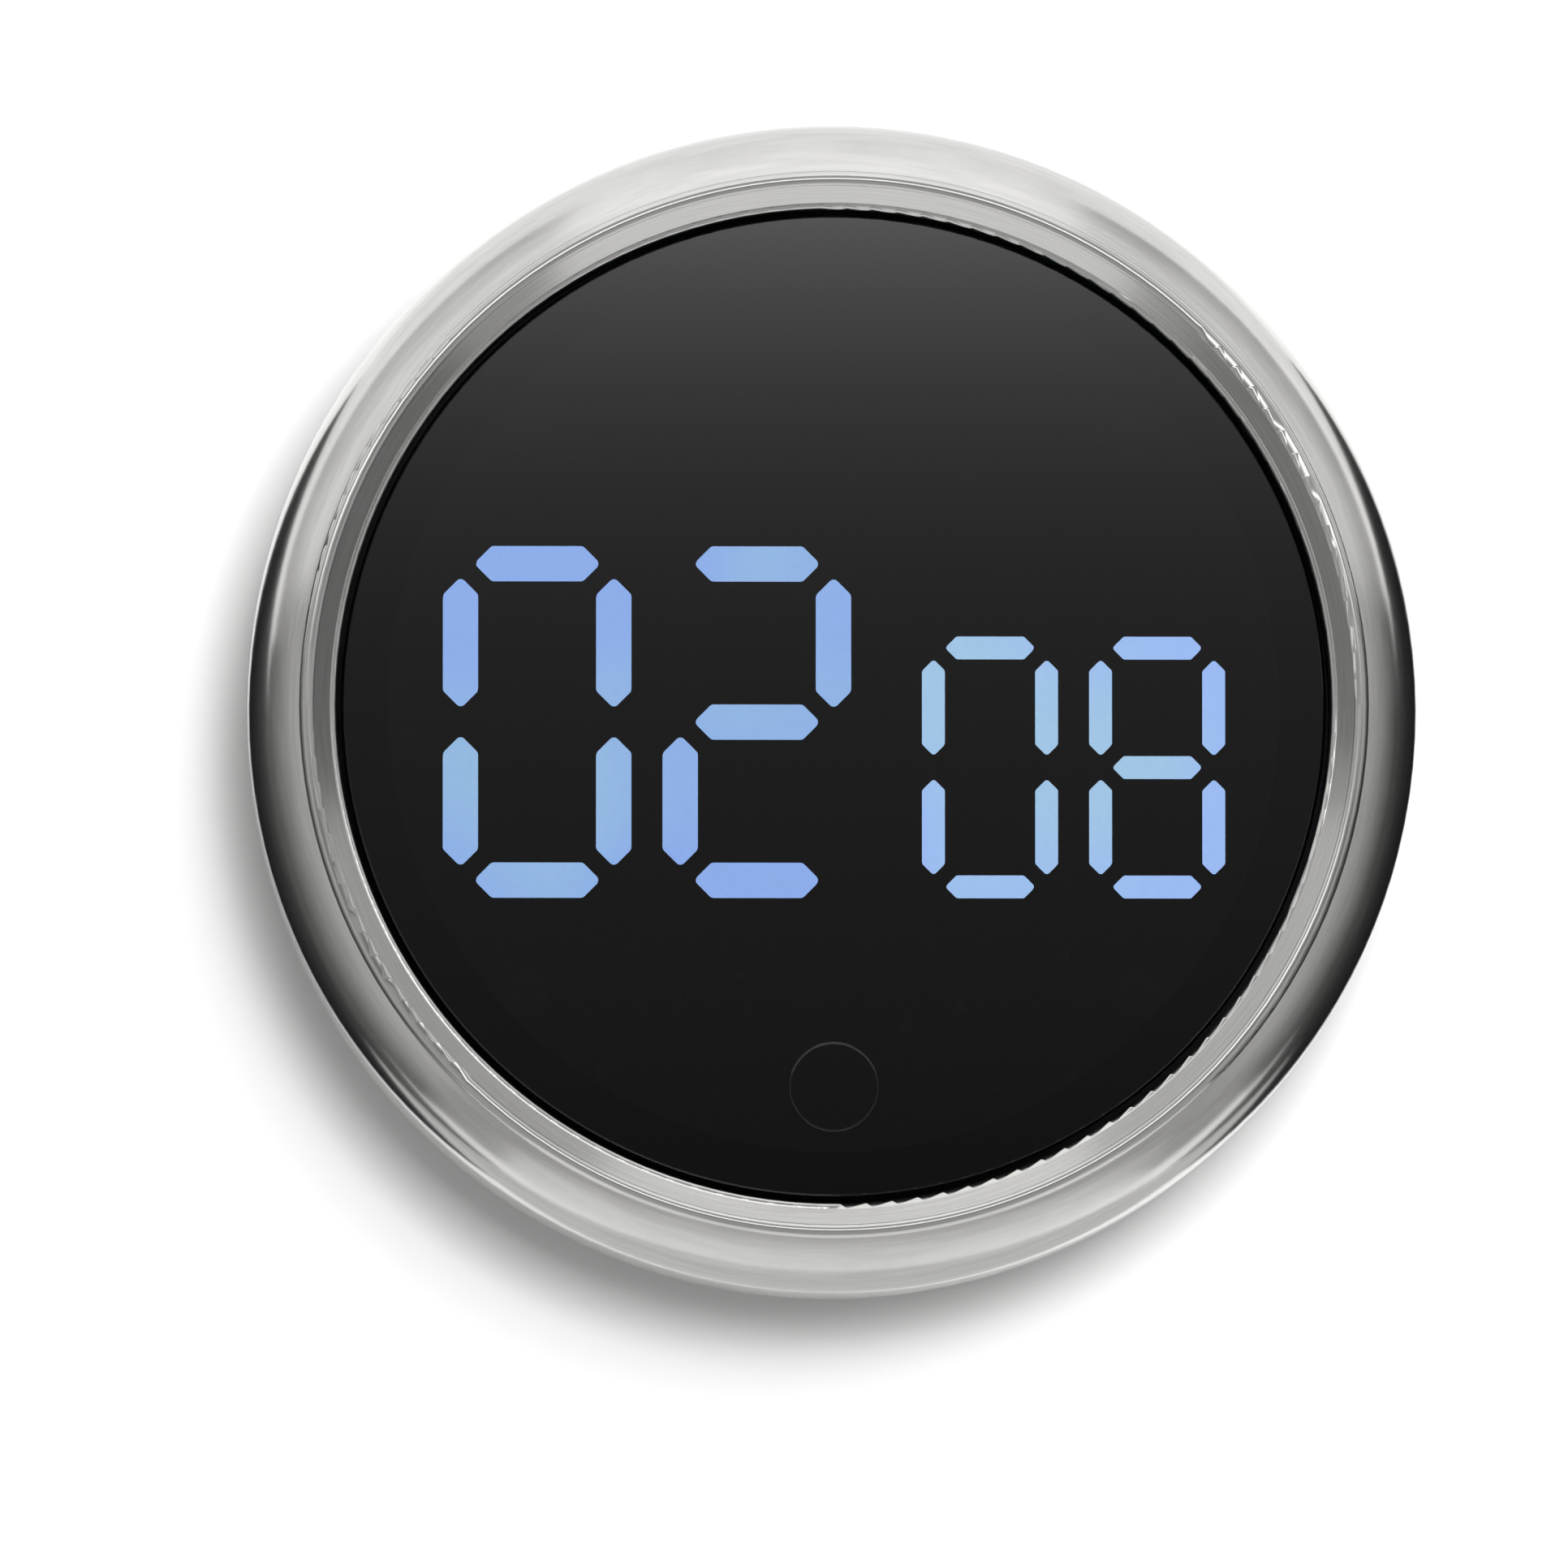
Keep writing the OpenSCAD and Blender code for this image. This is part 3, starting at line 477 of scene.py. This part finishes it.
@dataclass(frozen=True)
class SmokedLens:
    """Clear, smoked and polished plastic with faint wiping marks.

    Args:
        smoke: Share of light that comes through, for each colour.
        rough: Roughness of the polish.
        index: Refractive index.
    """

    smoke: Colour = (0.06, 0.06, 0.062)
    rough: float = 0.022
    index: float = 1.49

    def make(self, name: str) -> bpy.types.Material:
        """Makes the lens.

        Args:
            name: The material's name.

        Returns:
            The material.
        """
        shader = Shader(name)
        wiped = shader.noise(26.0, 5.0, shader.stretched((1.0, 0.35, 1.0)), 0.6)
        waves = shader.noise(70.0, 1.0)
        return shader.surface(
            Base_Color=self.smoke,
            Roughness=self.rough + wiped.ramp(0.45, 0.75) * 0.02,
            IOR=self.index,
            Transmission_Weight=1.0,
            Normal=shader.bump(waves, 0.000002),
        )


@dataclass(frozen=True)
class LitSegment:
    """A light pipe that glows, its colour drifting between a cool and a greener tone, with a fine diffusing
    grain.

    Args:
        cool: Glow colour where it is coolest.
        warm: Glow colour where it is greenest.
        strength: Brightness at full glow.
        base: Colour of the pipe itself.
    """

    cool: Colour
    warm: Colour
    strength: float
    base: Colour = (0.35, 0.4, 0.5)

    def make(self, name: str) -> bpy.types.Material:
        """Makes the glowing segment.

        Args:
            name: The material's name.

        Returns:
            The material.
        """
        shader = Shader(name)
        drift = shader.noise(48.0, 1.0)
        grain = shader.noise(2400.0, 3.0)
        glow = shader.blend(drift.ramp(0.38, 0.62), self.cool, self.warm)
        glow = shader.blend(grain.ramp(0.35, 0.75) * 0.1, glow, tuple(c * 0.8 for c in self.cool))
        return shader.surface(
            Base_Color=shader.blend(grain.ramp(0.3, 0.7), self.base, tuple(c * 0.8 for c in self.base)),
            Roughness=0.4 + (grain - 0.5) * 0.2,
            Emission_Color=glow,
            Emission_Strength=self.strength,
        )


@dataclass(frozen=True)
class SolderMask:
    """A circuit board: copper tracks under a glossy mask, with tinned pads.

    Args:
        mask: Colour of the mask over bare board.
        track: Colour of the mask over copper.
        pad: Colour of the tinned pads.
        pitch: Distance between the tracks in metres.
    """

    mask: Colour = (0.012, 0.085, 0.04)
    track: Colour = (0.025, 0.16, 0.07)
    pad: Colour = (0.7, 0.69, 0.64)
    pitch: float = 0.0016

    def make(self, name: str) -> bpy.types.Material:
        """Makes the board.

        Args:
            name: The material's name.

        Returns:
            The material.
        """
        shader = Shader(name)
        x, y, _ = shader.axes()
        swing = shader.noise(110.0, 0.0)
        across = ((x + swing * 0.006) / self.pitch).fraction()
        broken = shader.noise(150.0, 0.0, shader.stretched((1.0, 0.3, 1.0))).above(0.48)
        track = across.ramp(0.3, 0.36) * (1.0 - across.ramp(0.6, 0.66)) * broken
        pad = 1.0 - shader.cells(330.0).ramp(0.12, 0.15)
        tint = shader.blend(track, self.mask, self.track)
        return shader.surface(
            Base_Color=shader.blend(pad, tint, self.pad),
            Metallic=pad * 0.9,
            Roughness=0.28 + shader.noise(300.0) * 0.12,
            Coat_Weight=0.4,
            Coat_Roughness=0.12,
            Normal=shader.bump(track * 0.5 + pad * 0.5, 0.00003),
        )


@dataclass(frozen=True)
class CellSleeve:
    """A cell's printed film with a coloured band, and bare steel at both ends.

    Args:
        film: Colour of the film.
        band: Colour of the band.
        steel: Colour of the ends.
        end: Distance from the middle at which the steel ends start, in metres.
        band_at: Distance from the middle at which the band starts, in metres.
    """

    film: Colour
    band: Colour
    steel: Colour
    end: float
    band_at: float

    def make(self, name: str) -> bpy.types.Material:
        """Makes the sleeve.

        Args:
            name: The material's name.

        Returns:
            The material.
        """
        shader = Shader(name)
        _, y, _ = shader.axes()
        wrinkle = shader.noise(240.0, 3.0, shader.stretched((1.0, 0.2, 1.0)))
        fleck = shader.noise(3000.0, 1.0)
        steel = abs(y).above(self.end)
        band = y.above(self.band_at)
        tint = shader.blend(band, self.film, self.band)
        tint = shader.blend(fleck.ramp(0.4, 0.7) * 0.25, tint, tuple(c * 0.6 for c in self.film))
        return shader.surface(
            Base_Color=shader.blend(steel, tint, self.steel),
            Metallic=steel,
            Roughness=0.26 + wrinkle * 0.14,
            Coat_Weight=(1.0 - steel) * 0.5,
            Coat_Roughness=0.1,
            Normal=shader.bump(wrinkle, 0.00002),
        )


@dataclass(frozen=True)
class ChipParts:
    """Small ceramic or resin parts with tinned ends and a printed grain.

    Args:
        body: Colour of the body.
        ends: Colour of the ends and legs.
        legs_below: Height under which everything is tinned, in metres.
    """

    body: Colour
    ends: Colour
    legs_below: float

    def make(self, name: str) -> bpy.types.Material:
        """Makes the small parts' finish.

        Args:
            name: The material's name.

        Returns:
            The material.
        """
        shader = Shader(name)
        _, _, z = shader.axes()
        grain = shader.noise(5200.0, 3.0)
        tinned = 1.0 - z.above(self.legs_below)
        tint = shader.blend(grain.ramp(0.3, 0.7), tuple(c * 0.8 for c in self.body), self.body)
        return shader.surface(
            Base_Color=shader.blend(tinned, tint, self.ends),
            Metallic=tinned,
            Roughness=0.42 + (grain - 0.5) * 0.25,
            Normal=shader.bump(grain, 0.000008),
        )


# ---------------------------------------------------------------- sub-assemblies


def dress(node: str, finish: Finish) -> None:
    """Gives one node of the frame its material.

    Args:
        node: The node's name.
        finish: What its surface is made of.
    """
    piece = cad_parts[node]
    piece.data.materials.clear()
    piece.data.materials.append(finish.make(node))
    log.info("%s: %s", node, type(finish).__name__)


@dataclass
class TurningRing:
    """The steel trim, the plastic ring inside it, and the gear under that.

    Args:
        trim: Finish of the steel trim.
        carrier: Finish of the plastic ring.
        gear: Finish of the gear.
        screws: Finish of the gear's screws.
    """

    trim: Finish = BrushedMetal()
    carrier: Finish = MouldedPlastic((0.018, 0.018, 0.02), 0.42)
    gear: Finish = MouldedPlastic((0.68, 0.65, 0.57), 0.38, 1800.0, 0.000004, 0.5, 0.2)
    screws: Finish = PlatedMetal((0.5, 0.5, 0.52), 0.3)

    def build(self) -> None:
        """Dresses the ring's pieces."""
        dress("bezel_trim", self.trim)
        dress("ring_carrier", self.carrier)
        dress("ring_gear", self.gear)
        dress("ring_gear_screws", self.screws)


@dataclass
class Face:
    """The smoked lens with its touch mark, and the hinged frame that carries it.

    Args:
        lens: Finish of the lens.
        tape: Finish of the adhesive ring.
        carrier: Finish of the hinged frame.
        pusher: Finish of the switch plunger.
    """

    lens: Finish = SmokedLens()
    tape: Finish = MouldedPlastic((0.03, 0.03, 0.032), 0.8, 5200.0, 0.00003, 0.3)
    carrier: Finish = MouldedPlastic((0.012, 0.012, 0.013), 0.55)
    pusher: Finish = MouldedPlastic((0.74, 0.72, 0.66), 0.35, 2200.0, 0.000004)

    def build(self) -> None:
        """Dresses the face's pieces."""
        dress("lens", self.lens)
        dress("lens_adhesive", self.tape)
        dress("face_frame", self.carrier)
        dress("plunger", self.pusher)


@dataclass
class Display:
    """The light pipes of the four digits in their black housing, over their lamps.

    Args:
        strength: Brightness of a lit segment behind the lens.
        large_cool: Coolest glow of the large digits.
        large_warm: Greenest glow of the large digits.
        small_cool: Coolest glow of the small digits.
        small_warm: Greenest glow of the small digits.
    """

    strength: float = 17.5
    large_cool: Colour = (0.262, 0.42, 0.8)
    large_warm: Colour = (0.3, 0.5, 0.72)
    small_cool: Colour = (0.33, 0.5, 0.88)
    small_warm: Colour = (0.36, 0.57, 0.76)

    def build(self) -> None:
        """Dresses the digits, their housing and their lamps."""
        large = LitSegment(self.large_cool, self.large_warm, self.strength)
        small = LitSegment(self.small_cool, self.small_warm, self.strength)
        dress("minutes_tens_light", large)
        dress("minutes_units_light", large)
        dress("seconds_tens_light", small)
        dress("seconds_units_light", small)
        dress("unlit_segments", MouldedPlastic((0.02, 0.021, 0.024), 0.45, 2600.0, 0.000003))
        dress("display_housing", MouldedPlastic((0.004, 0.004, 0.005), 0.7, 3600.0, 0.000015, 0.25))
        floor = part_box("led_chips")[0].z
        dress("led_chips", ChipParts((0.8, 0.7, 0.32), (0.7, 0.7, 0.68), floor + 0.15 * MM))


@dataclass
class Electronics:
    """The chassis, the circuit board and what is soldered or screwed to them.

    Args:
        board: Finish of both circuit boards.
        black_part: Finish of black moulded parts.
        bright_screw: Finish of the small screws.
    """

    board: Finish = SolderMask()
    black_part: Finish = MouldedPlastic((0.016, 0.017, 0.019), 0.36, 2400.0, 0.000005)
    bright_screw: Finish = PlatedMetal((0.6, 0.6, 0.61), 0.26)

    def build(self) -> None:
        """Dresses the electronics."""
        dress("chassis", MouldedPlastic((0.03, 0.031, 0.034), 0.5))
        dress("circuit_board", self.board)
        dress("volume_board", self.board)
        dress("board_screws", self.bright_screw)
        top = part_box("circuit_board")[1].z
        dress("controller_chip", ChipParts((0.018, 0.018, 0.02), TINNED, top + 0.1 * MM))
        dress("passives", ChipParts((0.34, 0.22, 0.11), TINNED, top + 0.08 * MM))
        dress("encoder", self.black_part)
        dress("tact_switch", self.black_part)
        dress("buzzer", self.black_part)
        dress("volume_switch", BrushedMetal((0.62, 0.63, 0.64), 0.3, 0.1, Lay.ALONG_X))
        self._wires()

    def _wires(self) -> None:
        """Dresses the insulated leads."""
        for node, colour in (
            ("battery_leads", (0.42, 0.022, 0.016)),
            ("buzzer_leads", (0.6, 0.4, 0.03)),
            ("volume_leads", (0.02, 0.08, 0.36)),
        ):
            dress(node, MouldedPlastic(colour, 0.34, 1500.0, 0.000004))


@dataclass
class Drive:
    """The pinion that the ring turns, and the sensor shaft in it."""

    pinion: Finish = MouldedPlastic((0.7, 0.68, 0.6), 0.36, 1800.0, 0.000004, 0.5, 0.2)
    shaft: Finish = PlatedMetal((0.62, 0.62, 0.64), 0.2)

    def build(self) -> None:
        """Dresses the drive."""
        dress("pinion", self.pinion)
        dress("encoder_shaft", self.shaft)


@dataclass
class RearCase:
    """The case, its battery door, foot, magnets, screws and volume slider.

    Args:
        shell: Finish of the case and the door.
    """

    shell: Finish = MouldedPlastic((0.024, 0.0245, 0.027), 0.52, 2600.0, 0.000016)

    def build(self) -> None:
        """Dresses the rear of the timer."""
        dress("rear_case", self.shell)
        dress("battery_door", self.shell)
        dress("foot_ring", Silicone())
        dress("magnets", PlatedMetal((0.66, 0.67, 0.68), 0.16, 260.0))
        dress("case_screws", PlatedMetal((0.42, 0.42, 0.44), 0.3))
        dress("glide_washer", MouldedPlastic((0.8, 0.8, 0.77), 0.4, 1600.0, 0.000003, 0.5, 0.2))
        dress("volume_slider", MouldedPlastic((0.72, 0.72, 0.7), 0.42, 2600.0, 0.00001))


@dataclass
class Batteries:
    """Three cells with their contacts and springs.

    Args:
        film: Colour of the cells' film.
        band: Colour of the band on it.
    """

    film: Colour = (0.016, 0.06, 0.032)
    band: Colour = (0.42, 0.4, 0.34)

    def build(self) -> None:
        """Dresses the cells and the contacts."""
        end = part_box("cells")[1].y - 0.85 * MM
        dress("cells", CellSleeve(self.film, self.band, (0.66, 0.66, 0.64), end, end * 0.55))
        contact = PlatedMetal((0.74, 0.73, 0.7), 0.2, 360.0)
        for node in ("positive_contact", "negative_contact", "bridge_contacts", "contact_springs"):
            dress(node, contact)


# ---------------------------------------------------------------- studio


@dataclass
class Card:
    """A flat studio card, either a glowing reflector or a dark flag, that only reflections meet.

    Args:
        name: Its name.
        middle: Where its middle is.
        size: Its width and length.
        turn: Its turn about x, y and z in degrees.
        glow: Brightness at its dim end and its bright end, along its own length.
        span: Share of its length over which the brightness rises; it holds after that.
        curve: Power of the rise, 1 for an even one.
    """

    name: str
    middle: Colour
    size: tuple[float, float]
    turn: Colour
    glow: tuple[float, float]
    span: float = 1.0
    curve: float = 1.0

    def _material(self) -> bpy.types.Material:
        """Makes the card's glow, which rises along its length."""
        shader = Shader(self.name)
        half = self.size[1] / 2
        _, y, _ = shader.axes()
        rise = ((y + half) / (self.size[1] * self.span)).least(1.0).most(0.0)
        rise = rise * EVEN_RISE + rise**self.curve * (1.0 - EVEN_RISE)
        strength = self.glow[0] + rise * (self.glow[1] - self.glow[0])
        level = shader.point(strength, strength, strength)
        return shader.surface(
            Base_Color=(0, 0, 0), Specular_IOR_Level=0.0, Emission_Color=level, Emission_Strength=1.0
        )

    def build(self) -> None:
        """Makes the card and hides it from all but reflected rays."""
        mesh = bpy.data.meshes.new(self.name)
        w, l = self.size[0] / 2, self.size[1] / 2
        mesh.from_pydata([(-w, -l, 0), (w, -l, 0), (w, l, 0), (-w, l, 0)], [], [(0, 1, 2, 3)])
        card = bpy.data.objects.new(self.name, mesh)
        bpy.context.scene.collection.objects.link(card)
        card.location = self.middle
        card.rotation_euler = [math.radians(a) for a in self.turn]
        mesh.materials.append(self._material())
        card.visible_camera = False
        card.visible_diffuse = False
        card.visible_shadow = False
        card.visible_transmission = False
        card.visible_volume_scatter = False
        log.info("%s: glows %.2f to %.2f", self.name, *self.glow)


@dataclass
class Lamp:
    """A soft square area light aimed at a point.

    Args:
        name: Its name.
        at: Where it hangs.
        aim: What it points at.
        size: Side of the square in metres.
        watts: Its power.
    """

    name: str
    at: Colour
    aim: Colour
    size: float
    watts: float

    def build(self) -> None:
        """Hangs the lamp."""
        data = bpy.data.lights.new(self.name, "AREA")
        data.shape = "SQUARE"
        data.size = self.size
        data.energy = self.watts
        lamp = bpy.data.objects.new(self.name, data)
        bpy.context.scene.collection.objects.link(lamp)
        lamp.location = self.at
        lamp.rotation_euler = (Vector(self.aim) - Vector(self.at)).to_track_quat("-Z", "Y").to_euler()
        lamp.visible_glossy = False
        lamp.visible_transmission = False
        log.info("%s: %.2f W", self.name, self.watts)


@dataclass
class Studio:
    """The pale floor, the lights, the cards and the camera.

    Args:
        floor_colour: Colour of the floor.
        sky: Brightness of the room.
        lean: Lean of the camera from straight above towards -x and -y, in degrees.
        away: Distance of the camera.
        across: Width of the view at the timer, in metres.
        aim: The point in the middle of the view.
    """

    floor_colour: Colour = (0.86, 0.86, 0.86)
    sky: float = 0.45
    lean: tuple[float, float] = (1.4, 3.0)
    away: float = 1.6
    across: float = 0.105
    aim: Colour = (-0.00307, -0.0047, 0.0158)

    def build(self) -> None:
        """Builds the studio around the timer."""
        self._floor()
        self._room()
        for lamp in (
            Lamp("top", (0.046, 0.064, 0.9), (0, 0, 0.01), 0.16, 4.4),
            Lamp("key", (0.14, 0.2, 0.8), (0, 0, 0.01), 0.36, 3.2),
            Lamp("fill", (0.34, 0.42, 0.7), (0, 0, 0.01), 1.2, 2.8),
        ):
            lamp.build()
        for card in (
            Card("overhead_card", (0.008, 0.0264, 0.3), (0.3, 0.13), (0, 0, 0), (0.1, 2.6), 0.72, 8.0),
            Card("back_card", (0, 0.3, 0.1), (0.3, 0.3), (90, 0, 0), (1.1, 1.45)),
            Card("back_left_card", (-0.24, 0.2, 0.1), (0.28, 0.3), (90, 0, 50), (0.5, 1.2)),
            Card("back_right_card", (0.24, 0.2, 0.1), (0.28, 0.3), (90, 0, -50), (0.35, 1.1)),
            Card("front_card", (0, -0.3, 0.1), (0.44, 0.3), (90, 0, 0), (1.15, 0.75)),
            Card("left_flag", (-0.19, -0.06, 0.1), (0.2, 0.2), (90, 0, 107), (0.1, 0.7)),
            Card("right_flag", (0.195, -0.045, 0.1), (0.2, 0.2), (90, 0, 77), (0.05, 0.7)),
            Card("left_floor", (-0.133, -0.041, 0.0002), (0.14, 0.19), (0, 0, 107), (0.01, 0.22)),
            Card("right_floor", (0.136, -0.031, 0.0002), (0.14, 0.19), (0, 0, -103), (0.01, 0.14)),
            Card("front_floor", (0, -0.15, 0.0003), (0.13, 0.21), (0, 0, 0), (0.8, 0.72)),
            Card("back_floor", (0, 0.15, 0.0003), (0.26, 0.21), (0, 0, 0), (1.15, 1.15)),
        ):
            card.build()
        self._camera()

    def _floor(self) -> None:
        """Lays the pale floor, finely mottled."""
        mesh = bpy.data.meshes.new("floor")
        r = FLOOR_REACH
        mesh.from_pydata([(-r, -r, 0), (r, -r, 0), (r, r, 0), (-r, r, 0)], [], [(0, 1, 2, 3)])
        floor = bpy.data.objects.new("floor", mesh)
        bpy.context.scene.collection.objects.link(floor)
        shader = Shader("floor")
        mottle = shader.noise(30.0, 4.0)
        tint = shader.blend(mottle, self.floor_colour, tuple(c * 1.02 for c in self.floor_colour))
        mesh.materials.append(shader.surface(Base_Color=tint, Roughness=0.9, Specular_IOR_Level=0.1))

    def _room(self) -> None:
        """Lights the room evenly from all round."""
        world = bpy.data.worlds.new("room")
        world.use_nodes = True
        world.node_tree.nodes["Background"].inputs[0].default_value = (self.sky, self.sky, self.sky, 1)
        bpy.context.scene.world = world

    def _camera(self) -> None:
        """Hangs the camera over the timer, a long way off."""
        data = bpy.data.cameras.new("camera")
        data.sensor_width = FILM_WIDTH
        data.lens = FILM_WIDTH * self.away / self.across
        data.clip_start = 0.05
        data.clip_end = 20.0
        camera = bpy.data.objects.new("camera", data)
        bpy.context.scene.collection.objects.link(camera)
        lean_x, lean_y = (math.tan(math.radians(a)) for a in self.lean)
        back = Vector((-lean_x, -lean_y, 1.0)).normalized()
        right = Vector((0, 1, 0)).cross(back).normalized()
        up = back.cross(right)
        turn = camera.matrix_world.to_3x3()
        turn.col[0], turn.col[1], turn.col[2] = right, up, back
        camera.matrix_world = turn.to_4x4()
        camera.location = Vector(self.aim) + back * self.away
        bpy.context.scene.camera = camera
        bpy.context.scene.view_settings.view_transform = "Standard"


def main() -> None:
    """Dresses every sub-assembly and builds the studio."""
    logging.basicConfig(level=logging.INFO, format="%(name)s %(message)s")
    for part in (
        TurningRing(),
        Face(),
        Display(),
        Electronics(),
        Drive(),
        RearCase(),
        Batteries(),
        Studio(),
    ):
        part.build()


if __name__ == "__main__":
    main()
